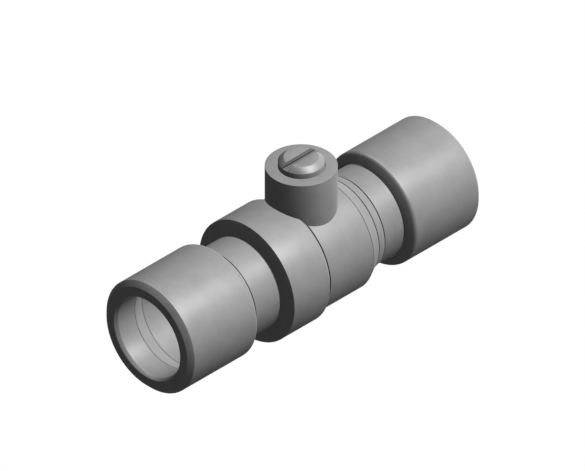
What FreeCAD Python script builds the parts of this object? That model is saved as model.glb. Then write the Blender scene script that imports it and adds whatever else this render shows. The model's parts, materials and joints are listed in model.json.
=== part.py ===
import FreeCAD, Part
import math
import os

from FreeCAD import Vector

# Isolating valve for 15 mm pipe, in millimetres. The pipe axis is X, the inlet faces -X and the spindle
# points up along Z. The origin is the centre of the inlet's pipe stop, where the end of the pipe lands.

# Pipe and the bores that take it
pipe_r = 7.5
pipe_clearance = 0.1
waterway_r = 4.75

# Necks with the threads that carry the nuts, as plain bands at the crest of the thread, and the narrow
# grooves that the turning tool leaves in their corners
neck_wall = 1.02
thread_rise = 0.13
thread_engaged = 2.3
inlet_thread_shown = 0.54
outlet_thread_hidden = 0.54
thread_lead_chamfer = 0.25
relief_width = 0.22
relief_depth = 0.14
inlet_neck_shown = 7.12
outlet_neck_shown = 4.65

# Compression nuts
nut_thread_clearance = 0.08
nut_wall = 1.81
nut_length = 17.0
nut_hole_length = 4.75
nut_cone_length = 2.85
nut_face_chamfer = 0.92
nut_mouth_rise = 0.4
nut_mouth_length = 0.7
nut_ring_slope_deg = 27.3
nut_ring_fillet = 0.8

# Olives
olive_bore_step = 0.02
olive_wall = 0.68
olive_length = 4.0
olive_flank_length = 1.4
olive_flank_deg = 20.0
olive_seat_gap = 0.04
olive_seat_depth = 1.1

# Ball and seats
ball_r = 7.5
ball_bore_chamfer = 0.3
ball_roof = 0.8
ball_seat_gap = 0.04
chamber_gap = 0.4
seat_bore_step = 0.25
seat_back_wall = 0.96
seat_thickness = 2.7
seat_edge_gap = 0.05

# Body
inlet_web = 5.4
body_wall = 2.74
body_cone_length = 2.76
flange_rise = 0.86
flange_length = 8.48
flange_ahead_of_spindle = 13.08
boss_wall = 2.18
boss_rise = 7.01
boss_bore_chamfer = 0.16

# Screwed end insert
insert_thread_step = 0.35
insert_thread_clearance = 0.05
insert_stem_length = 3.09
insert_shoulder = 0.9
insert_floor = 3.6
insert_key_flats = 10.5
insert_key_depth = 2.4
collar_length = 1.71
seam_chamfer = 0.13
shoulder_relief = 0.05

# Spindle with its shoulder, tang, seal grooves and slotted head
spindle_r = 4.0
spindle_clearance = 0.05
shoulder_rise = 0.9
shoulder_thickness = 1.0
shoulder_side_gap = 0.1
shoulder_seat_gap = 0.1
washer_thickness = 0.4
washer_gap = 0.05
tang_width = 6.4
tang_thickness = 2.4
tang_side_gap = 0.05
tang_end_gap = 0.15
seal_section_r = 0.55
seal_gap = 0.03
seal_side_gap = 0.15
seal_first_height = 1.6
seal_spacing = 2.6
head_wall_height = 0.9
head_cone_height = 0.84
head_cone_inset = 1.0
slot_width = 1.41
slot_depth = 0.84

# Radii that follow from the values above
pipe_bore_r = pipe_r + pipe_clearance
neck_r = pipe_bore_r + neck_wall
crest_r = neck_r + thread_rise
relief_r = neck_r - relief_depth
nut_thread_r = crest_r + nut_thread_clearance
nut_r = nut_thread_r + nut_wall
olive_bore_r = pipe_bore_r + olive_bore_step
olive_r = olive_bore_r + olive_wall
flank_slope = math.tan(math.radians(olive_flank_deg))
olive_tip_r = olive_r - olive_flank_length * flank_slope
chamber_r = ball_r + chamber_gap
body_r = chamber_r + body_wall
flange_r = body_r + flange_rise
mouth_r = chamber_r + insert_thread_step
stem_r = mouth_r - insert_thread_clearance
collar_r = mouth_r + insert_shoulder
seat_bore_r = waterway_r + seat_bore_step
spindle_bore_r = spindle_r + spindle_clearance
boss_r = spindle_bore_r + boss_wall
shoulder_r = spindle_r + shoulder_rise
pocket_r = shoulder_r + shoulder_side_gap

# Places along the pipe axis
seat_sphere_r = ball_r + ball_seat_gap
seat_back = math.sqrt(seat_sphere_r ** 2 - seat_bore_r ** 2) + seat_back_wall
spindle_x = inlet_web + seat_back
inlet_seat_x = spindle_x - seat_back
outlet_seat_x = spindle_x + seat_back
flange_front_x = spindle_x - flange_ahead_of_spindle
flange_rear_x = flange_front_x + flange_length
body_mouth_x = outlet_seat_x + insert_stem_length
body_cone_x = body_mouth_x - body_cone_length
collar_end_x = body_mouth_x + collar_length
inlet_nut_x = flange_front_x - inlet_neck_shown
outlet_nut_x = collar_end_x + outlet_neck_shown
inlet_end_x = inlet_nut_x - thread_engaged
outlet_end_x = outlet_nut_x + thread_engaged
outlet_stop_x = outlet_seat_x + insert_floor

# The cone in each neck's mouth runs beside the olive's flank
mouth_cone_r = olive_tip_r + olive_seat_depth * flank_slope + olive_seat_gap
mouth_cone_length = (mouth_cone_r - pipe_bore_r) / flank_slope

# Heights above the pipe axis
boss_top_z = body_r + boss_rise
shoulder_z = chamber_r + shoulder_seat_gap
shoulder_top_z = shoulder_z + shoulder_thickness
pocket_roof_z = shoulder_top_z + washer_gap + washer_thickness
ball_slot_z = waterway_r + ball_roof
groove_r = spindle_r - 2 * seal_section_r - seal_gap
groove_height = 2 * (seal_section_r + seal_side_gap)
seal_heights = [pocket_roof_z + seal_first_height + n * seal_spacing for n in range(2)]

ORIGIN = Vector(0, 0, 0)
X_AXIS = Vector(1, 0, 0)
Z_AXIS = Vector(0, 0, 1)
SAME = 1e-4


def outline(points):
    """A flat face in the XZ plane, from its corners in order."""
    corners = [Vector(x, 0, z) for x, z in points]
    return Part.Face(Part.makePolygon(corners + corners[:1]))


def turned(points):
    """A piece turned about the pipe axis, from (place along X, radius) corners."""
    return outline(points).revolve(ORIGIN, X_AXIS, 360)


def turned_upright(points):
    """A piece turned about the spindle axis, from (radius, height) corners."""
    at_origin = outline(points).revolve(ORIGIN, Z_AXIS, 360)
    at_origin.translate(Vector(spindle_x, 0, 0))
    return at_origin


def rims(shape, radius, centre):
    """The circular edges of that radius whose centre is there."""
    circles = [edge for edge in shape.Edges if isinstance(edge.Curve, Part.Circle)]
    return [
        edge for edge in circles
        if abs(edge.Curve.Radius - radius) < SAME and edge.Curve.Center.distanceToPoint(centre) < SAME
    ]


def mirrored_to_outlet(shape, inlet_face_x, outlet_face_x):
    """The same piece turned end for end about Z, with its inboard face at the outlet's place."""
    copy = shape.copy()
    copy.rotate(ORIGIN, Z_AXIS, 180)
    copy.translate(Vector(inlet_face_x + outlet_face_x, 0, 0))
    return copy


def valve_body():
    """Inlet neck, flange, ball chamber and spindle boss in one casting."""
    thread_end_x = inlet_nut_x + inlet_thread_shown
    barrel_x = flange_rear_x + flange_rise
    cone_slope = (body_r - collar_r) / body_cone_length
    shell = turned([
        (inlet_end_x, 0),
        (inlet_end_x, crest_r - thread_lead_chamfer),
        (inlet_end_x + thread_lead_chamfer, crest_r),
        (thread_end_x, crest_r),
        (thread_end_x, relief_r),
        (thread_end_x + relief_width, relief_r),
        (thread_end_x + relief_width, neck_r),
        (flange_front_x - relief_width, neck_r),
        (flange_front_x - relief_width, relief_r),
        (flange_front_x, relief_r),
        (flange_front_x, flange_r),
        (flange_rear_x, flange_r),
        (barrel_x, body_r),
        (barrel_x, body_r - relief_depth),
        (barrel_x + relief_width, body_r - relief_depth),
        (barrel_x + relief_width, body_r),
        (body_cone_x, body_r),
        (body_mouth_x - seam_chamfer, collar_r + seam_chamfer * cone_slope),
        (body_mouth_x, collar_r - seam_chamfer),
        (body_mouth_x, 0),
    ])
    boss = Part.makeCylinder(boss_r, boss_top_z, Vector(spindle_x, 0, 0), Z_AXIS)
    bored = turned([
        (inlet_end_x, 0),
        (inlet_end_x, mouth_cone_r),
        (inlet_end_x + mouth_cone_length, pipe_bore_r),
        (0, pipe_bore_r),
        (0, waterway_r),
        (inlet_seat_x, waterway_r),
        (inlet_seat_x, chamber_r),
        (outlet_seat_x + shoulder_relief, chamber_r),
        (outlet_seat_x + shoulder_relief, mouth_r),
        (body_mouth_x, mouth_r),
        (body_mouth_x, 0),
    ])
    spindle_hole = turned_upright([
        (0, 0),
        (pocket_r, 0),
        (pocket_r, pocket_roof_z),
        (spindle_bore_r, pocket_roof_z),
        (spindle_bore_r, boss_top_z - boss_bore_chamfer),
        (spindle_bore_r + boss_bore_chamfer, boss_top_z),
        (0, boss_top_z),
    ])
    return shell.fuse(boss).cut(bored.fuse(spindle_hole)).removeSplitter()


def key_socket():
    """Hexagon in the floor of the outlet's socket, for the key that screws the insert in."""
    corner_r = insert_key_flats / math.sqrt(3)
    corners = [(corner_r * math.cos(n * math.pi / 3), corner_r * math.sin(n * math.pi / 3)) for n in range(7)]
    floor_x = outlet_stop_x - insert_key_depth
    hexagon = Part.Face(Part.makePolygon([Vector(floor_x, y, z) for y, z in corners]))
    return hexagon.extrude(Vector(insert_key_depth, 0, 0))


def end_insert():
    """The screwed end that traps the ball and seats, with the outlet neck."""
    thread_start_x = outlet_nut_x + outlet_thread_hidden
    collar_slope = (collar_r - crest_r) / collar_length
    solid = turned([
        (outlet_seat_x, 0),
        (outlet_seat_x, stem_r - thread_lead_chamfer),
        (outlet_seat_x + thread_lead_chamfer, stem_r),
        (body_mouth_x, stem_r),
        (body_mouth_x, collar_r - seam_chamfer),
        (body_mouth_x + seam_chamfer, collar_r - seam_chamfer * collar_slope),
        (collar_end_x, crest_r),
        (collar_end_x, relief_r),
        (collar_end_x + relief_width, relief_r),
        (collar_end_x + relief_width, neck_r),
        (thread_start_x, neck_r),
        (thread_start_x, crest_r),
        (outlet_end_x - thread_lead_chamfer, crest_r),
        (outlet_end_x, crest_r - thread_lead_chamfer),
        (outlet_end_x, 0),
    ])
    bored = turned([
        (outlet_seat_x, 0),
        (outlet_seat_x, waterway_r),
        (outlet_stop_x, waterway_r),
        (outlet_stop_x, pipe_bore_r),
        (outlet_end_x - mouth_cone_length, pipe_bore_r),
        (outlet_end_x, mouth_cone_r),
        (outlet_end_x, 0),
    ])
    return solid.cut(bored.fuse(key_socket()))


def inlet_seat():
    """Ring that the ball turns against, with a spherical face."""
    face_x = inlet_seat_x + seat_thickness
    ring = turned([
        (inlet_seat_x, seat_bore_r),
        (inlet_seat_x, chamber_r - seat_edge_gap),
        (face_x, chamber_r - seat_edge_gap),
        (face_x, seat_bore_r),
    ])
    return ring.cut(Part.makeSphere(seat_sphere_r, Vector(spindle_x, 0, 0)))


def outlet_seat():
    return mirrored_to_outlet(inlet_seat(), inlet_seat_x, outlet_seat_x)


def ball():
    """Ball with its waterway, and a slot across the top for the spindle's tang."""
    rim_r = waterway_r + ball_bore_chamfer
    rim_x = math.sqrt(ball_r ** 2 - rim_r ** 2)
    bore_x = rim_x - ball_bore_chamfer
    crown = Part.Arc(Vector(-rim_x, 0, rim_r), Vector(0, 0, ball_r), Vector(rim_x, 0, rim_r))
    bore = Part.makePolygon([
        Vector(rim_x, 0, rim_r),
        Vector(bore_x, 0, waterway_r),
        Vector(-bore_x, 0, waterway_r),
        Vector(-rim_x, 0, rim_r),
    ])
    section = Part.Face(Part.Wire([crown.toShape()] + bore.Edges))
    drilled = section.revolve(ORIGIN, X_AXIS, 360)
    slot_half = tang_thickness / 2 + tang_side_gap
    slot = Part.makeBox(2 * slot_half, 2 * ball_r, ball_r)
    slot.translate(Vector(-slot_half, -ball_r, ball_slot_z))
    slotted = drilled.cut(slot)
    slotted.translate(Vector(spindle_x, 0, 0))
    return slotted


def spindle():
    """Blow-out-proof spindle: shoulder inside, tang below, slotted head above the boss."""
    head_z = boss_top_z + head_wall_height
    top_z = head_z + head_cone_height
    profile = [(0, shoulder_z), (shoulder_r, shoulder_z), (shoulder_r, shoulder_top_z)]
    profile.append((spindle_r, shoulder_top_z))
    for height in seal_heights:
        low = height - groove_height / 2
        high = height + groove_height / 2
        profile += [(spindle_r, low), (groove_r, low), (groove_r, high), (spindle_r, high)]
    profile += [(spindle_r, head_z), (spindle_r - head_cone_inset, top_z), (0, top_z)]
    shaft = turned_upright(profile)
    tang_foot_z = ball_slot_z + tang_end_gap
    tang = Part.makeBox(tang_thickness, tang_width, shoulder_top_z - tang_foot_z)
    tang.translate(Vector(spindle_x - tang_thickness / 2, -tang_width / 2, tang_foot_z))
    slot = Part.makeBox(2 * boss_r, slot_width, slot_depth)
    slot.translate(Vector(spindle_x - boss_r, -slot_width / 2, top_z - slot_depth))
    return shaft.fuse(tang).cut(slot).removeSplitter()


def spindle_washer():
    """Flat ring between the spindle's shoulder and the roof of its pocket."""
    floor_z = pocket_roof_z - washer_thickness
    return turned_upright([
        (spindle_bore_r, floor_z),
        (shoulder_r, floor_z),
        (shoulder_r, pocket_roof_z),
        (spindle_bore_r, pocket_roof_z),
    ])


def spindle_seal(height):
    """O-ring in its groove."""
    middle_r = groove_r + seal_gap + seal_section_r
    return Part.makeTorus(middle_r, seal_section_r, Vector(spindle_x, 0, height), Z_AXIS)


def spindle_seal_lower():
    return spindle_seal(seal_heights[0])


def spindle_seal_upper():
    return spindle_seal(seal_heights[1])


def inlet_nut():
    """Plain round compression nut: pipe hole, cone for the olive, then the thread's bore."""
    face_x = inlet_nut_x - nut_length
    cone_x = face_x + nut_hole_length
    ring_length = nut_wall * math.tan(math.radians(nut_ring_slope_deg))
    nut = turned([
        (face_x, pipe_bore_r + nut_mouth_rise),
        (face_x, nut_r - nut_face_chamfer),
        (face_x + nut_face_chamfer, nut_r),
        (inlet_nut_x - ring_length, nut_r),
        (inlet_nut_x, nut_thread_r),
        (cone_x + nut_cone_length, nut_thread_r),
        (cone_x, pipe_bore_r),
        (face_x + nut_mouth_length, pipe_bore_r),
    ])
    shoulder = rims(nut, nut_r, Vector(inlet_nut_x - ring_length, 0, 0))
    return nut.makeFillet(nut_ring_fillet, shoulder)


def outlet_nut():
    return mirrored_to_outlet(inlet_nut(), inlet_nut_x, outlet_nut_x)


def inlet_olive():
    """Soft ring that the nut's cone squeezes onto the pipe, lying in the neck's mouth."""
    inner_x = inlet_end_x + olive_seat_depth
    outer_x = inner_x - olive_length
    return turned([
        (outer_x, olive_bore_r),
        (outer_x, olive_tip_r),
        (outer_x + olive_flank_length, olive_r),
        (inner_x - olive_flank_length, olive_r),
        (inner_x, olive_tip_r),
        (inner_x, olive_bore_r),
    ])


def outlet_olive():
    return mirrored_to_outlet(inlet_olive(), inlet_end_x, outlet_end_x)


PIECES = [
    valve_body,
    end_insert,
    inlet_seat,
    outlet_seat,
    ball,
    spindle,
    spindle_washer,
    spindle_seal_lower,
    spindle_seal_upper,
    inlet_nut,
    outlet_nut,
    inlet_olive,
    outlet_olive,
]

os.makedirs("parts", exist_ok=True)
for piece in PIECES:
    shape = piece()
    box = shape.BoundBox
    print(f"{piece.__name__}: {len(shape.Solids)} solid, valid {shape.isValid()}, "
          f"{shape.Volume:.1f} mm3, x {box.XMin:.2f} to {box.XMax:.2f}, z {box.ZMin:.2f} to {box.ZMax:.2f}")
    shape.exportStep(f"parts/{piece.__name__}.step")
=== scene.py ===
import json
import math

import bmesh
import bpy
from mathutils import Matrix, Vector


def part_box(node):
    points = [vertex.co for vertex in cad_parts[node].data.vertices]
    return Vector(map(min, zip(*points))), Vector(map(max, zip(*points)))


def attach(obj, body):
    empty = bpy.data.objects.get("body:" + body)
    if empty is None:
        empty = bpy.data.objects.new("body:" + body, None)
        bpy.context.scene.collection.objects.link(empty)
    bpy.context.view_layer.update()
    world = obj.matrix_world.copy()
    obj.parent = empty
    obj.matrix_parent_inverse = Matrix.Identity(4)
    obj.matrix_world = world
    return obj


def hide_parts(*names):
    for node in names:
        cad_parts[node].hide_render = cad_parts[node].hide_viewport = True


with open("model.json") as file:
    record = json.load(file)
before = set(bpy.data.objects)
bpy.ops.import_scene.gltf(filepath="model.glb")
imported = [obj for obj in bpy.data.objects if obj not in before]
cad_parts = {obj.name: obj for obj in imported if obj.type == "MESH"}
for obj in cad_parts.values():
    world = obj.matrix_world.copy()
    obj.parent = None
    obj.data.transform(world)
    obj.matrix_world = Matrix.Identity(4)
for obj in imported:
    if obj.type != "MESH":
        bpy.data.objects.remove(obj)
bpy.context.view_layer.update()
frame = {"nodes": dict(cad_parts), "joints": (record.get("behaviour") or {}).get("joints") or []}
mm = 0.001
print("frame loaded:", len(frame["nodes"]), "nodes")

# Places that come from the frame, in millimetres along the pipe axis or above it
joints = {joint["name"]: joint for joint in frame["joints"]}
spindleX = joints["spindle_turn"]["pos_m"][0] / mm


def span(node, axis):
    low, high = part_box(node)
    return low[axis] / mm, high[axis] / mm


inletEnd, bodyMouth = span("valve_body", 0)
insertStart, outletEnd = span("end_insert", 0)
inletFace, inletRim = span("inlet_nut", 0)
outletRim, outletFace = span("outlet_nut", 0)
bossTop = span("valve_body", 2)[1]
spindleFoot, spindleTop = span("spindle", 2)

# How finely everything is turned, and how finely its edges are rounded
turning = {
    "steps": 144,
    "sharpAngle": math.radians(26),
    "weld": 1e-7,
    "edgeSegments": 3,
    "roundSegments": 7,  # for a rounding wider than roundFrom
    "roundFrom": 0.3,
    "bevelSegments": 2,
    "bevelAngle": math.radians(32),
}


def newPiece(name, mesh):
    piece = bpy.data.objects.new(name, mesh)
    bpy.context.scene.collection.objects.link(piece)
    return piece


def finishMesh(bm, name):
    bmesh.ops.remove_doubles(bm, verts=bm.verts, dist=turning["weld"])
    bmesh.ops.recalc_face_normals(bm, faces=bm.faces)
    mesh = bpy.data.meshes.new(name)
    bm.to_mesh(mesh)
    bm.free()
    return newPiece(name, mesh)


def shadeByAngle(piece):
    piece.data.polygons.foreach_set("use_smooth", [True] * len(piece.data.polygons))
    piece.data.set_sharp_from_angle(angle=turning["sharpAngle"])
    piece.data.update()
    return piece


# Corners are (along the axis, radius, rounding); the rounding is how far from the corner it starts.
# A piece is turned about the pipe's axis, or about the spindle's if it is upright.
def turned(name, corners, upright=False, closed=True):
    bm = bmesh.new()
    if upright:
        points = [Vector((spindleX + r, 0, along)) * mm for along, r, _ in corners]
        centre, axis = Vector((spindleX, 0, 0)) * mm, Vector((0, 0, 1))
    else:
        points = [Vector((along, 0, r)) * mm for along, r, _ in corners]
        centre, axis = Vector((0, 0, 0)), Vector((1, 0, 0))
    verts = [bm.verts.new(point) for point in points]
    pairs = list(zip(verts, verts[1:] + verts[:1])) if closed else list(zip(verts, verts[1:]))
    for first, second in pairs:
        bm.edges.new((first, second))
    for vert, (_, _, rounding) in zip(verts, corners):
        if rounding:
            segments = "roundSegments" if rounding > turning["roundFrom"] else "edgeSegments"
            bmesh.ops.bevel(bm, geom=[vert], offset=rounding * mm, offset_type="OFFSET", affect="VERTICES",
                            segments=turning[segments], profile=0.5, material=-1)
    bmesh.ops.spin(bm, geom=bm.verts[:] + bm.edges[:], cent=centre, axis=axis, dvec=(0, 0, 0),
                   angle=math.tau, steps=turning["steps"], use_merge=True, use_duplicate=False)
    return finishMesh(bm, name)


def block(name, size, centre):
    bm = bmesh.new()
    bmesh.ops.create_cube(bm, size=1.0)
    bmesh.ops.scale(bm, vec=Vector(size) * mm, verts=bm.verts)
    bmesh.ops.translate(bm, vec=Vector(centre) * mm, verts=bm.verts)
    return finishMesh(bm, name)


def applied(piece):
    graph = bpy.context.evaluated_depsgraph_get()
    mesh = bpy.data.meshes.new_from_object(piece.evaluated_get(graph))
    piece.modifiers.clear()
    piece.data = mesh
    return piece


def combined(piece, other, operation):
    boolean = piece.modifiers.new(operation.lower(), "BOOLEAN")
    boolean.operation = operation
    boolean.solver = "EXACT"
    boolean.object = other
    applied(piece)
    bpy.data.objects.remove(other)
    return piece


def softened(piece, width):
    bevel = piece.modifiers.new("edges", "BEVEL")
    bevel.width = width * mm
    bevel.segments = turning["bevelSegments"]
    bevel.limit_method = "ANGLE"
    bevel.angle_limit = turning["bevelAngle"]
    return applied(piece)


# Sizes of the pipe way, the threads and the grooves, which several pieces share
ways = {
    "pipe": 7.6,
    "water": 4.75,
    "neck": 8.62,
    "crest": 8.75,
    "lead": 0.25,
    "mouthCone": 8.23,
    "mouthConeLength": 1.733,
    "chamber": 7.9,
    "seatBack": 6.604,  # from the spindle's axis to the back of each seat
    "relief": (0.22, 0.14),  # width and depth of the tool's groove
    "lip": 9.15,
    "seam": 0.13,
}

body = {
    "threadShown": 0.54,
    "flangeR": 11.5,
    "flangeAhead": 13.08,
    "flangeLength": 8.48,
    "faceRise": 0.5,  # the flange's front face slopes forward to the neck by this much
    "barrelR": 10.64,
    "coneLength": 2.76,
    "screwR": 8.25,
    "insertGap": 0.05,  # room past the insert's inner end
    "bossR": 6.23,
    "bossFoot": 8.3,
    "pocketR": 5.0,
    "pocketRoof": 9.45,
    "spindleBoreR": 4.05,
    "edge": 0.07,
    "boreEdge": 0.1,
    "cutRise": 1.0,  # how far the spindle hole's cutter stands out of the boss
}

flangeFront = spindleX - body["flangeAhead"]
flangeFoot = flangeFront - body["faceRise"]
flangeRear = flangeFront + body["flangeLength"]
barrelStart = flangeRear + body["flangeR"] - body["barrelR"]
threadEnd = inletRim + body["threadShown"]
coneStart = bodyMouth - body["coneLength"]


def valveBody():
    coneSlope = (body["barrelR"] - ways["lip"]) / body["coneLength"]
    reliefWidth, reliefDepth = ways["relief"]
    shoulder = insertStart - body["insertGap"]
    edge = body["edge"]
    piece = turned("valveBody", [
        (inletEnd, ways["mouthCone"], 0),
        (inletEnd, ways["crest"] - ways["lead"], 0),
        (inletEnd + ways["lead"], ways["crest"], 0),
        (threadEnd, ways["crest"], 0),
        (threadEnd, ways["neck"] - reliefDepth, 0),
        (threadEnd + reliefWidth, ways["neck"] - reliefDepth, 0),
        (threadEnd + reliefWidth, ways["neck"], 0),
        (flangeFoot - reliefWidth, ways["neck"], 0),
        (flangeFoot - reliefWidth, ways["neck"] - reliefDepth, 0),
        (flangeFoot, ways["neck"] - reliefDepth, 0),
        (flangeFront, body["flangeR"], edge),
        (flangeRear, body["flangeR"], edge),
        (barrelStart, body["barrelR"], 0),
        (barrelStart, body["barrelR"] - reliefDepth, 0),
        (barrelStart + reliefWidth, body["barrelR"] - reliefDepth, 0),
        (barrelStart + reliefWidth, body["barrelR"], 0),
        (coneStart, body["barrelR"], edge),
        (bodyMouth - ways["seam"], ways["lip"] + ways["seam"] * coneSlope, 0),
        (bodyMouth, ways["lip"] - ways["seam"], 0),
        (bodyMouth, body["screwR"], 0),
        (shoulder, body["screwR"], 0),
        (shoulder, ways["chamber"], 0),
        (spindleX - ways["seatBack"], ways["chamber"], 0),
        (spindleX - ways["seatBack"], ways["water"], 0),
        (0, ways["water"], edge),
        (0, ways["pipe"], 0),
        (inletEnd + ways["mouthConeLength"], ways["pipe"], edge),
    ])
    boss = turned("boss", [
        (body["bossFoot"], 0, 0),
        (body["bossFoot"], body["bossR"], 0),
        (bossTop, body["bossR"], edge),
        (bossTop, 0, 0),
    ], upright=True, closed=False)
    hole = turned("spindleHole", [
        (ways["water"], 0, 0),
        (ways["water"], body["pocketR"], 0),
        (body["pocketRoof"], body["pocketR"], 0),
        (body["pocketRoof"], body["spindleBoreR"], 0),
        (bossTop - body["boreEdge"], body["spindleBoreR"], 0),
        (bossTop + body["cutRise"], body["spindleBoreR"] + body["cutRise"] + body["boreEdge"], 0),
        (bossTop + body["cutRise"], 0, 0),
    ], upright=True, closed=False)
    combined(piece, boss, "UNION")
    combined(piece, hole, "DIFFERENCE")
    return shadeByAngle(piece)


insert = {
    "stemR": 8.2,
    "collarLength": 1.71,
    "threadHidden": 0.54,
    "floor": 3.6,
    "keyFlats": 10.5,
    "keyDepth": 2.4,
    "edge": 0.05,
}

collarEnd = bodyMouth + insert["collarLength"]


def endInsert():
    stop = insertStart + insert["floor"]
    threadStart = outletRim + insert["threadHidden"]
    collarSlope = (ways["lip"] - ways["crest"]) / insert["collarLength"]
    reliefWidth, reliefDepth = ways["relief"]
    edge = insert["edge"]
    piece = turned("endInsert", [
        (insertStart, ways["water"], edge),
        (insertStart, insert["stemR"] - ways["lead"], 0),
        (insertStart + ways["lead"], insert["stemR"], 0),
        (bodyMouth, insert["stemR"], 0),
        (bodyMouth, ways["lip"] - ways["seam"], 0),
        (bodyMouth + ways["seam"], ways["lip"] - ways["seam"] * collarSlope, 0),
        (collarEnd, ways["crest"], edge),
        (collarEnd, ways["neck"] - reliefDepth, 0),
        (collarEnd + reliefWidth, ways["neck"] - reliefDepth, 0),
        (collarEnd + reliefWidth, ways["neck"], 0),
        (threadStart, ways["neck"], 0),
        (threadStart, ways["crest"], 0),
        (outletEnd - ways["lead"], ways["crest"], 0),
        (outletEnd, ways["crest"] - ways["lead"], 0),
        (outletEnd, ways["mouthCone"], 0),
        (outletEnd - ways["mouthConeLength"], ways["pipe"], edge),
        (stop, ways["pipe"], 0),
        (stop, ways["water"], edge),
    ])
    keyR = insert["keyFlats"] / math.sqrt(3) * mm
    bm = bmesh.new()
    bmesh.ops.create_cone(bm, cap_ends=True, segments=6, radius1=keyR, radius2=keyR,
                          depth=2 * insert["keyDepth"] * mm)
    bmesh.ops.rotate(bm, matrix=Matrix.Rotation(math.pi / 2, 3, "Y"), verts=bm.verts)
    bmesh.ops.translate(bm, vec=(stop * mm, 0, 0), verts=bm.verts)
    combined(piece, finishMesh(bm, "keySocket"), "DIFFERENCE")
    return shadeByAngle(piece)


nut = {
    "outerR": 10.64,
    "threadR": 8.83,
    "holeLength": 4.75,
    "coneLength": 2.85,
    "faceChamfer": 0.92,
    "mouthRise": 0.4,
    "mouthLength": 0.7,
    "ringSlope": math.radians(27.3),
    "ringRounding": 0.487,
    "edge": 0.07,
}


def compressionNut(name, face, rim):
    inboard = 1 if rim > face else -1
    ringLength = (nut["outerR"] - nut["threadR"]) * math.tan(nut["ringSlope"])
    cone = face + inboard * nut["holeLength"]
    edge = nut["edge"]
    piece = turned(name, [
        (face, ways["pipe"] + nut["mouthRise"], edge),
        (face, nut["outerR"] - nut["faceChamfer"], edge),
        (face + inboard * nut["faceChamfer"], nut["outerR"], edge),
        (rim - inboard * ringLength, nut["outerR"], nut["ringRounding"]),
        (rim, nut["threadR"], edge),
        (cone + inboard * nut["coneLength"], nut["threadR"], edge),
        (cone, ways["pipe"], edge),
        (face + inboard * nut["mouthLength"], ways["pipe"], edge),
    ])
    return shadeByAngle(piece)


spindleShape = {
    "r": 4.0,
    "shoulderR": 4.9,
    "shoulderFoot": 8.0,
    "shoulderTop": 9.0,
    "grooveR": 2.87,
    "grooveHeight": 1.4,
    "sealHeights": (11.05, 13.65),
    "headWall": 0.9,
    "coneInset": 1.0,
    "tang": (2.4, 6.4),  # thickness and width
    "tangOverlap": 0.2,  # how far the tang's block stops short of the shoulder's top
    "slotWidth": 1.41,
    "slotDepth": 0.84,
    "slotCutLength": 12.0,
    "edge": 0.05,
}


def slottedSpindle():
    shape = spindleShape
    headFoot = bossTop + shape["headWall"]
    corners = [(shape["shoulderFoot"], 0, 0), (shape["shoulderFoot"], shape["shoulderR"], 0)]
    corners += [(shape["shoulderTop"], shape["shoulderR"], 0), (shape["shoulderTop"], shape["r"], 0)]
    for height in shape["sealHeights"]:
        low, high = height - shape["grooveHeight"] / 2, height + shape["grooveHeight"] / 2
        corners += [(low, shape["r"], 0), (low, shape["grooveR"], 0)]
        corners += [(high, shape["grooveR"], 0), (high, shape["r"], 0)]
    corners += [(headFoot, shape["r"], 0), (spindleTop, shape["r"] - shape["coneInset"], 0)]
    corners += [(spindleTop, 0, 0)]
    piece = turned("slottedSpindle", corners, upright=True, closed=False)
    thickness, width = shape["tang"]
    tangHeight = shape["shoulderTop"] - shape["tangOverlap"] - spindleFoot
    tang = block("tang", (thickness, width, tangHeight), (spindleX, 0, spindleFoot + tangHeight / 2))
    slotSize = (shape["slotCutLength"], shape["slotWidth"], 2 * shape["slotDepth"])
    slot = block("slot", slotSize, (spindleX, 0, spindleTop))
    combined(piece, tang, "UNION")
    combined(piece, slot, "DIFFERENCE")
    softened(piece, shape["edge"])
    return shadeByAngle(piece)


ballShape = {
    "r": 7.5,
    "chamfer": 0.3,
    "slotHalf": 1.25,
    "slotFloor": 5.55,
    "slotCutLength": 20.0,
    "cutRise": 1.0,
    "arcSteps": 40,
}


def valveBall():
    shape = ballShape
    rimR = ways["water"] + shape["chamfer"]
    rimAngle = math.acos(rimR / shape["r"])
    crown = []
    for step in range(shape["arcSteps"] + 1):
        angle = rimAngle * (2 * step / shape["arcSteps"] - 1)
        crown.append((spindleX + shape["r"] * math.sin(angle), shape["r"] * math.cos(angle), 0))
    boreHalf = shape["r"] * math.sin(rimAngle) - shape["chamfer"]
    bore = [(spindleX + boreHalf, ways["water"], 0), (spindleX - boreHalf, ways["water"], 0)]
    piece = turned("valveBall", crown + bore)
    depth = shape["r"] - shape["slotFloor"] + shape["cutRise"]
    slotSize = (2 * shape["slotHalf"], shape["slotCutLength"], depth)
    slot = block("tangSlot", slotSize, (spindleX, 0, shape["slotFloor"] + depth / 2))
    combined(piece, slot, "DIFFERENCE")
    return shadeByAngle(piece)


seat = {"bore": 5.0, "outerR": 7.85, "thickness": 2.7, "sphereR": 7.54, "arcSteps": 14, "edge": 0.08}


def seatRing(name, side):
    faceHalf = ways["seatBack"] - seat["thickness"]
    landR = math.sqrt(seat["sphereR"] ** 2 - faceHalf ** 2)
    first, last = math.asin(landR / seat["sphereR"]), math.asin(seat["bore"] / seat["sphereR"])
    curve = []
    for step in range(seat["arcSteps"] + 1):
        angle = first + (last - first) * step / seat["arcSteps"]
        along = spindleX + side * seat["sphereR"] * math.cos(angle)
        curve.append((along, seat["sphereR"] * math.sin(angle), 0))
    back = spindleX + side * ways["seatBack"]
    face = spindleX + side * faceHalf
    return shadeByAngle(turned(name, curve + [
        (back, seat["bore"], seat["edge"]),
        (back, seat["outerR"], seat["edge"]),
        (face, seat["outerR"], seat["edge"]),
    ]))


olive = {"bore": 7.62, "r": 8.3, "tipR": 7.79, "flank": 1.4, "edge": 0.12, "tipEdge": 0.04}


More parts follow.
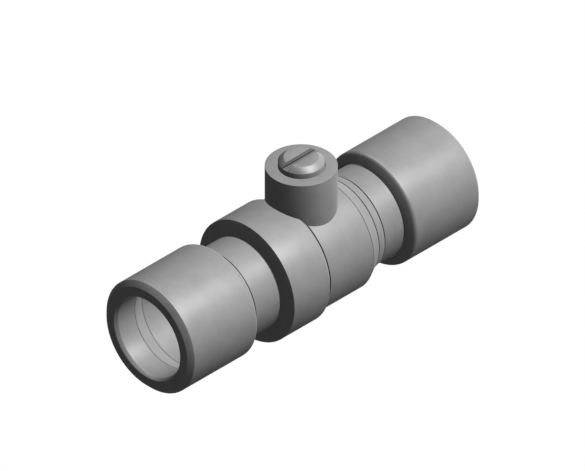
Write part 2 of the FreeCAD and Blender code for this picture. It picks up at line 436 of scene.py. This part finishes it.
def oliveRing(name, node):
    low, high = span(node, 0)
    return shadeByAngle(turned(name, [
        (low, olive["bore"], 0),
        (low, olive["tipR"], olive["tipEdge"]),
        (low + olive["flank"], olive["r"], olive["edge"]),
        (high - olive["flank"], olive["r"], olive["edge"]),
        (high, olive["tipR"], olive["tipEdge"]),
        (high, olive["bore"], 0),
    ]))


seal = {"section": 0.55, "middleR": 3.45, "sectionSteps": 24, "turnSteps": 96}


def sealRing(name, height):
    bm = bmesh.new()
    bmesh.ops.create_circle(bm, segments=seal["sectionSteps"], radius=seal["section"] * mm)
    bmesh.ops.rotate(bm, matrix=Matrix.Rotation(math.pi / 2, 3, "X"), verts=bm.verts)
    bmesh.ops.translate(bm, vec=Vector((spindleX + seal["middleR"], 0, height)) * mm, verts=bm.verts)
    bmesh.ops.spin(bm, geom=bm.verts[:] + bm.edges[:], cent=Vector((spindleX, 0, 0)) * mm, axis=(0, 0, 1),
                   dvec=(0, 0, 0), angle=math.tau, steps=seal["turnSteps"], use_merge=True,
                   use_duplicate=False)
    return shadeByAngle(finishMesh(bm, name))


washer = {"bore": 4.05, "r": 4.9, "edge": 0.04}


def spindleWasher():
    low, high = span("spindle_washer", 2)
    return shadeByAngle(turned("spindleWasher", [
        (low, washer["bore"], 0),
        (low, washer["r"], washer["edge"]),
        (high, washer["r"], washer["edge"]),
        (high, washer["bore"], 0),
    ], upright=True))


# A socket that takes Python's operators, each of which adds its Math node
class Wire:
    def __init__(self, graph, socket):
        self.graph = graph
        self.socket = socket

    def math(self, operation, *others):
        return self.graph.node("ShaderNodeMath", {"operation": operation}, [self, *others])

    def __add__(self, other):
        return self.math("ADD", other)

    __radd__ = __add__

    def __sub__(self, other):
        return self.math("SUBTRACT", other)

    def __rsub__(self, other):
        return self.graph.node("ShaderNodeMath", {"operation": "SUBTRACT"}, [other, self])

    def __mul__(self, other):
        return self.math("MULTIPLY", other)

    __rmul__ = __mul__

    def __truediv__(self, other):
        return self.math("DIVIDE", other)

    def __pow__(self, other):
        return self.math("POWER", other)

    def ramp(self, low, high, toLow=0.0, toHigh=1.0):
        settings = {"interpolation_type": "SMOOTHSTEP", "clamp": True}
        return self.graph.node("ShaderNodeMapRange", settings, [self, low, high, toLow, toHigh])


class Graph:
    def __init__(self, tree):
        self.tree = tree
        tree.nodes.clear()

    def node(self, kind, settings=None, inputs=(), output=0):
        made = self.tree.nodes.new(kind)
        for key, value in (settings or {}).items():
            setattr(made, key, value)
        given = inputs.items() if isinstance(inputs, dict) else enumerate(inputs)
        for key, value in given:
            if isinstance(value, Wire):
                self.tree.links.new(value.socket, made.inputs[key])
            else:
                made.inputs[key].default_value = value
        return Wire(self, made.outputs[output]) if made.outputs else None

    def position(self):
        return self.node("ShaderNodeTexCoord", output="Object")

    def parts(self, vector):
        first = self.node("ShaderNodeSeparateXYZ", inputs=[vector])
        return [Wire(self, output) for output in first.socket.node.outputs]

    def vector(self, operation, inputs, output=0):
        return self.node("ShaderNodeVectorMath", {"operation": operation}, inputs, output)

    # Noise along one line where the place is a number, and through space where it is a vector
    def noise(self, place, scale, detail, roughness):
        socket, dimensions = ("W", "1D") if place.socket.type == "VALUE" else ("Vector", "3D")
        inputs = {socket: place, "Scale": scale, "Detail": detail, "Roughness": roughness}
        return self.node("ShaderNodeTexNoise", {"noise_dimensions": dimensions}, inputs)

    # On a Mix node of colours, 0, 6 and 7 are the factor and the two colours, and 2 is the result
    def mixColour(self, factor, first, second):
        inputs = {0: factor}
        for index, colour in ((6, first), (7, second)):
            inputs[index] = colour if isinstance(colour, Wire) else (*colour, 1.0)
        return self.node("ShaderNodeMix", {"data_type": "RGBA"}, inputs, output=2)


def newMaterial(name):
    material = bpy.data.materials.new(name)
    material.use_nodes = True
    return material, Graph(material.node_tree)


# Painted shade: dark colour painted in the narrow grooves and gaps and along a few lines, where shade falls,
# and the softness of its masks, in millimetres
shadeMasks = {
    "colour": (0.01, 0.01, 0.01),
    "most": 0.9,
    "blend": 0.03,  # how soft its edge is
    "over": 0.04,  # how far it reaches past a surface, so that no edge falls on it
    "line": 0.08,  # half the width of a line
    "outside": (8.3, 10.8),  # radii that hold the outside of the necks and the barrel
    "threadSeen": 1.4,  # how far into a nut the eye follows its thread
    "boreDepth": 1.0,  # down the gap between the spindle and its bore
    "boreInner": 3.9,
    "slotShadeAll": 0.4,  # all over the screwdriver slot
    "slotCorner": 0.14,  # and thickest in the corners at its foot
}


# 1 above a size in millimetres and 0 below it
def above(distance, low):
    return (distance - low * mm).ramp(0, shadeMasks["blend"] * mm)


def below(distance, high):
    return (high * mm - distance).ramp(0, shadeMasks["blend"] * mm)


def within(distance, low, high):
    return above(distance, low) * below(distance, high)


# Painted shade all over the screwdriver slot, darkest in the corners at its foot
def slotShade(y, z):
    half = spindleShape["slotWidth"] / 2
    floor = spindleTop - spindleShape["slotDepth"]
    over, corner = shadeMasks["over"], shadeMasks["slotCorner"]
    across = y.math("ABSOLUTE")
    slotWideShade = below(across, half + over) * shadeMasks["slotShadeAll"]
    corners = within(across, half - corner, half + over) * within(z, floor - over, floor + corner)
    return (slotWideShade + corners) * within(z, floor - over, spindleTop)


# What all turned metals have in common. The noises are given as (detail, roughness).
turnedFinish = {
    "markNoise": (5.0, 0.65),
    "cloudNoise": (4.0, 0.55),
    "grainNoise": (2.0, 0.5),
    "faceMarks": 1.3,  # marks lie this much closer across a face than along a cylinder
    "contrast": (0.3, 0.7),
    "cloudShare": 0.65,
    "markShare": 0.35,
    "markRoughness": 0.08,
    "bumpStrength": 0.35,
    "bumpDistance": 0.00002,
    "bossMarksFrom": 7.5,
}


# Turning marks run round whichever axis the surface was turned on. Painted shade, a near-black colour
# standing in for shade, lies in the narrow grooves and gaps, which are given in millimetres as (start, end,
# inner radius, outer radius) about the pipe or the spindle.
def turnedMetal(name, look):
    material, graph = newMaterial(name)
    position = graph.position()
    x, y, z = graph.parts(position)
    fromPipe = (y * y + z * z) ** 0.5
    fromSpindle = ((x - spindleX * mm) ** 2 + y * y) ** 0.5
    onBoss = below(fromSpindle, body["bossR"] + shadeMasks["over"]) * above(z, turnedFinish["bossMarksFrom"])
    aboutPipe = x + fromPipe * turnedFinish["faceMarks"]
    aboutSpindle = z + fromSpindle * turnedFinish["faceMarks"]
    path = aboutPipe * (1 - onBoss) + aboutSpindle * onBoss
    marks = graph.noise(path, look["marks"], *turnedFinish["markNoise"])
    cloud = graph.noise(position, look["cloud"], *turnedFinish["cloudNoise"])
    grain = graph.noise(position, look["grain"], *turnedFinish["grainNoise"])
    cloudTone = cloud.ramp(*turnedFinish["contrast"]) * turnedFinish["cloudShare"]
    markTone = marks.ramp(*turnedFinish["contrast"]) * turnedFinish["markShare"]
    colour = graph.mixColour(cloudTone + markTone, look["dark"], look["pale"])
    # Painted shade: the base colour is mixed towards near-black in the listed bands and in the slot
    shadeAmount = 0
    for low, high, inner, outer in look.get("pipeShadeBands", ()):
        shadeAmount = shadeAmount + within(x, low, high) * within(fromPipe, inner, outer) * (1 - onBoss)
    for low, high, inner, outer in look.get("spindleShadeBands", ()):
        shadeAmount = shadeAmount + within(z, low, high) * within(fromSpindle, inner, outer)
    if look.get("slotShade"):
        shadeAmount = shadeAmount + slotShade(y, z)
    if shadeAmount:
        colour = graph.mixColour(shadeAmount.math("MINIMUM", shadeMasks["most"]), colour, shadeMasks["colour"])
    cloudRoughness = (cloud - 0.5) * look["roughnessSpread"]
    markRoughness = (marks - 0.5) * turnedFinish["markRoughness"]
    height = marks * look["markDepth"] + grain * look["grainDepth"]
    bump = graph.node("ShaderNodeBump", None, {
        "Strength": turnedFinish["bumpStrength"],
        "Distance": turnedFinish["bumpDistance"],
        "Height": height,
    })
    shader = graph.node("ShaderNodeBsdfPrincipled", None, {
        "Base Color": colour,
        "Metallic": 1.0,
        "Roughness": look["roughness"] + cloudRoughness + markRoughness,
        "Normal": bump,
    })
    graph.node("ShaderNodeOutputMaterial", None, {"Surface": shader})
    return material


nickel = {
    "dark": (0.375, 0.375, 0.38), "pale": (0.43, 0.43, 0.43), "roughness": 0.31, "roughnessSpread": 0.08,
    "marks": 2600.0, "cloud": 320.0, "grain": 6000.0, "markDepth": 0.5, "grainDepth": 0.5,
}
outside = shadeMasks["outside"]
halfLine = shadeMasks["line"]
grooveWidth = ways["relief"][0] + halfLine
holeEnds = (inletFace + nut["holeLength"], outletFace - nut["holeLength"])
threadEnds = (holeEnds[0] + nut["coneLength"], holeEnds[1] - nut["coneLength"])


# A line of painted shade round a nut's bore, given by its place, its reach along the bore and the bore's
# radius
def boreShadeLine(place, reach, radius):
    return (place - reach, place + reach, radius - halfLine, radius + halfLine)


metals = {
    "bodyNickel": {
        **nickel,
        # Painted shade: dark bands at the grooves, a line at the cone's start, the seam, and the neck just
        # inside the outlet nut's rim
        "pipeShadeBands": [
            (threadEnd, threadEnd + grooveWidth, *outside),
            (flangeFoot - ways["relief"][0], flangeFoot, *outside),
            (barrelStart, barrelStart + grooveWidth, *outside),
            (coneStart - halfLine, coneStart + halfLine, *outside),
            (bodyMouth - ways["seam"], bodyMouth + ways["seam"], *outside),
            (collarEnd, collarEnd + grooveWidth, *outside),
            (outletRim, outletRim + grooveWidth, *outside),
        ],
        # Painted shade down the gap between the spindle and its bore
        "spindleShadeBands": [
            (bossTop - shadeMasks["boreDepth"], bossTop + shadeMasks["over"],
             shadeMasks["boreInner"], body["spindleBoreR"] + shadeMasks["over"]),
        ],
    },
    "nutNickel": {
        **nickel,
        # Painted shade: dark lines at the inner ends of each nut's hole and cone, and down the thread inside
        # each rim
        "pipeShadeBands": [
            *(boreShadeLine(end, halfLine, ways["pipe"]) for end in holeEnds),
            *(boreShadeLine(end, halfLine, nut["threadR"]) for end in threadEnds),
            *(boreShadeLine(rim, shadeMasks["threadSeen"], nut["threadR"]) for rim in (inletRim, outletRim)),
        ],
    },
    "spindleNickel": {
        "dark": (0.38, 0.38, 0.385), "pale": (0.44, 0.44, 0.44), "roughness": 0.27, "roughnessSpread": 0.06,
        "marks": 3200.0, "cloud": 420.0, "grain": 7000.0, "markDepth": 0.6, "grainDepth": 0.3,
        # painted shade in the screwdriver slot
        "slotShade": True,
    },
    "polishedBall": {
        "dark": (0.60, 0.60, 0.61), "pale": (0.68, 0.68, 0.69), "roughness": 0.12, "roughnessSpread": 0.05,
        "marks": 5000.0, "cloud": 300.0, "grain": 9000.0, "markDepth": 0.2, "grainDepth": 0.1,
    },
    "turnedBrass": {
        "dark": (0.50, 0.40, 0.24), "pale": (0.60, 0.50, 0.32), "roughness": 0.28, "roughnessSpread": 0.08,
        "marks": 3000.0, "cloud": 500.0, "grain": 6000.0, "markDepth": 0.6, "grainDepth": 0.3,
    },
}

# What the plastic and the rubber have in common
mouldedFinish = {
    "cloudNoise": (5.0, 0.6),
    "contrast": (0.3, 0.7),
    "roughnessSpread": 0.12,
    "bumpStrength": 0.3,
    "bumpDistance": 0.00003,
}


def mouldedMaterial(name, look):
    material, graph = newMaterial(name)
    cloud = graph.noise(graph.position(), look["cloud"], *mouldedFinish["cloudNoise"])
    bump = graph.node("ShaderNodeBump", None, {
        "Strength": mouldedFinish["bumpStrength"],
        "Distance": mouldedFinish["bumpDistance"],
        "Height": cloud,
    })
    shader = graph.node("ShaderNodeBsdfPrincipled", None, {
        "Base Color": graph.mixColour(cloud.ramp(*mouldedFinish["contrast"]), look["dark"], look["pale"]),
        "Roughness": look["roughness"] + (cloud - 0.5) * mouldedFinish["roughnessSpread"],
        "Normal": bump,
        "Specular IOR Level": look["specular"],
    })
    graph.node("ShaderNodeOutputMaterial", None, {"Surface": shader})
    return material


moulded = {
    "seatPlastic": {
        "dark": (0.78, 0.78, 0.76), "pale": (0.86, 0.86, 0.84), "roughness": 0.42, "specular": 0.4,
        "cloud": 900.0,
    },
    "sealRubber": {
        "dark": (0.018, 0.018, 0.019), "pale": (0.035, 0.035, 0.036), "roughness": 0.55, "specular": 0.45,
        "cloud": 1500.0,
    },
}

materials = {name: turnedMetal(name, look) for name, look in metals.items()}
materials.update({name: mouldedMaterial(name, look) for name, look in moulded.items()})
print("materials made:", ", ".join(materials))

# Each piece: its maker, material, record slot, body and the node that it stands for
shapes = [
    (valveBody(), "bodyNickel", "plated_body", "root", "valve_body"),
    (endInsert(), "bodyNickel", "plated_body", "root", "end_insert"),
    (compressionNut("inletNut", inletFace, inletRim), "nutNickel", "plated_nut",
     "inlet_nut_body", "inlet_nut"),
    (compressionNut("outletNut", outletFace, outletRim), "nutNickel", "plated_nut",
     "outlet_nut_body", "outlet_nut"),
    (slottedSpindle(), "spindleNickel", "spindle_metal", "spindle_and_ball", "spindle"),
    (valveBall(), "polishedBall", "polished_ball", "spindle_and_ball", "ball"),
    (seatRing("inletSeat", -1), "seatPlastic", "seat_plastic", "root", "inlet_seat"),
    (seatRing("outletSeat", 1), "seatPlastic", "seat_plastic", "root", "outlet_seat"),
    (spindleWasher(), "seatPlastic", "seat_plastic", "root", "spindle_washer"),
    (sealRing("lowerSeal", spindleShape["sealHeights"][0]), "sealRubber", "seal_rubber",
     "spindle_and_ball", "spindle_seal_lower"),
    (sealRing("upperSeal", spindleShape["sealHeights"][1]), "sealRubber", "seal_rubber",
     "spindle_and_ball", "spindle_seal_upper"),
    (oliveRing("inletOlive", "inlet_olive"), "turnedBrass", "olive_metal",
     "inlet_olive_ring", "inlet_olive"),
    (oliveRing("outletOlive", "outlet_olive"), "turnedBrass", "olive_metal",
     "outlet_olive_ring", "outlet_olive"),
]

# Pieces don't show in each other's gloss, so each keeps the even tones that the photograph has
for piece, material, slotName, bodyName, node in shapes:
    piece.data.materials.clear()
    piece.data.materials.append(materials[material])
    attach(piece, bodyName)
    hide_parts(node)
    piece.visible_glossy = False
    print("made", piece.name, len(piece.data.polygons), "faces")

# The studio: a far white floor and sky, and a tent of soft light that only gloss sees. The tent's brightness
# is set by place alone: dim all round, bright towards the key light at the upper right, a small highlight
# halfway between key and front, a slight shade round the front and a soft strip overhead.
studio = {
    "floorDepth": 1.6,
    "floorSize": 16.0,
    "floorGrey": 0.85,
    "tentR": 1.5,
    "tentSubdivisions": 4,
    "front": (-1, -1, 1),
    "dim": 50 / 255,
    "key": (36.6 / 255, -66 / 255, 102 / 255),  # its direction, as long as it is bright
    "highlight": 63 / 255,
    "highlightPower": 60.0,
    "gamma": 2.2,
    "gain": 2.45,
    "shade": 0.2,
    "shadeFrom": 0.7,
    "shadeTo": 0.95,
    "overhead": 0.55,
    "overheadWidth": 0.24,
    "overheadFall": 0.5,
    "overheadFrom": 0.3,
    "overheadTo": 0.9,
}


def whiteFloor():
    bm = bmesh.new()
    bmesh.ops.create_grid(bm, x_segments=1, y_segments=1, size=studio["floorSize"] / 2)
    bmesh.ops.translate(bm, vec=(0, 0, -studio["floorDepth"]), verts=bm.verts)
    floor = finishMesh(bm, "floor")
    material, graph = newMaterial("whiteFloor")
    rays = ("Is Camera Ray", "Is Glossy Ray", "Is Transmission Ray")
    seen = sum(graph.node("ShaderNodeLightPath", output=ray) for ray in rays).math("MINIMUM", 1.0)
    plain = graph.node("ShaderNodeBsdfDiffuse", None, {"Color": (*[studio["floorGrey"]] * 3, 1.0)})
    white = graph.node("ShaderNodeEmission", None, {"Color": (1.0, 1.0, 1.0, 1.0), "Strength": 1.0})
    mixed = graph.node("ShaderNodeMixShader", None, [seen, plain, white])
    graph.node("ShaderNodeOutputMaterial", None, {"Surface": mixed})
    floor.data.materials.append(material)
    return floor


def lightTent():
    centre = Vector((spindleX * mm, 0, 0))
    bm = bmesh.new()
    bmesh.ops.create_icosphere(bm, subdivisions=studio["tentSubdivisions"], radius=studio["tentR"])
    bmesh.ops.translate(bm, vec=centre, verts=bm.verts)
    tent = finishMesh(bm, "lightTent")
    material, graph = newMaterial("tentLight")
    heading = graph.vector("NORMALIZE", [graph.vector("SUBTRACT", [graph.position(), centre])])
    x, _, z = graph.parts(heading)
    front = Vector(studio["front"]).normalized()
    key = Vector(studio["key"])
    halfway = graph.vector("NORMALIZE", [graph.vector("ADD", [heading, front])])
    towardsKey = graph.vector("DOT_PRODUCT", [halfway, key], "Value").math("MAXIMUM", 0.0)
    middle = (front + key.normalized()).normalized()
    highlight = graph.vector("DOT_PRODUCT", [halfway, middle], "Value").math("MAXIMUM", 0.0)
    highlight = highlight ** studio["highlightPower"] * studio["highlight"]
    tone = (towardsKey + studio["dim"] + highlight) ** studio["gamma"] * studio["gain"]
    towardsFront = graph.vector("DOT_PRODUCT", [heading, front], "Value")
    shade = towardsFront.ramp(studio["shadeFrom"], studio["shadeTo"], 1.0, 1 - studio["shade"])
    strip = (1 - (x / studio["overheadWidth"]) ** 2 * studio["overheadFall"]).math("MAXIMUM", 0.0)
    overhead = strip * z.ramp(studio["overheadFrom"], studio["overheadTo"]) * studio["overhead"]
    strength = tone * shade + overhead
    glow = graph.vector("SCALE", {"Vector": (1, 1, 1), "Scale": strength})
    light = graph.node("ShaderNodeEmission", None, {"Color": glow, "Strength": 1.0})
    graph.node("ShaderNodeOutputMaterial", None, {"Surface": light})
    tent.data.materials.append(material)
    tent.visible_camera = False
    tent.visible_diffuse = False
    tent.visible_shadow = False
    tent.visible_transmission = False
    return tent


def whiteWorld():
    world = bpy.data.worlds.new("studioWorld")
    bpy.context.scene.world = world
    world.use_nodes = True
    graph = Graph(world.node_tree)
    sky = graph.node("ShaderNodeBackground", None, {"Color": (1.0, 1.0, 1.0, 1.0), "Strength": 1.0})
    graph.node("ShaderNodeOutputWorld", None, {"Surface": sky})


whiteFloor()
lightTent()
whiteWorld()
print("studio set")

# The photograph: its size in pixels, its scale and where the spindle's axis meets the pipe's in it
photo = {
    "width": 585,
    "height": 471,
    "pixelsPerMm": 5.87,
    "spindle": (301.2, 249.7),
    "distance": 0.6,
    "clipEnd": 20.0,
}


def photoCamera():
    right = Vector((1, -1, 0)).normalized()
    up = Vector((1, 1, 2)).normalized()
    back = Vector((-1, -1, 1)).normalized()
    acrossPixels = photo["spindle"][0] - photo["width"] / 2
    downPixels = photo["spindle"][1] - photo["height"] / 2
    pixel = mm / photo["pixelsPerMm"]
    target = Vector((spindleX * mm, 0, 0)) - right * acrossPixels * pixel + up * downPixels * pixel
    camera = bpy.data.objects.new("camera", bpy.data.cameras.new("camera"))
    camera.data.type = "ORTHO"
    camera.data.ortho_scale = photo["width"] * pixel
    camera.data.clip_end = photo["clipEnd"]
    turn = Matrix((right, up, back)).transposed().to_4x4()
    camera.matrix_world = Matrix.Translation(target + back * photo["distance"]) @ turn
    bpy.context.scene.collection.objects.link(camera)
    bpy.context.scene.camera = camera


photoCamera()
bpy.context.scene.view_settings.view_transform = "Standard"
print("camera set")
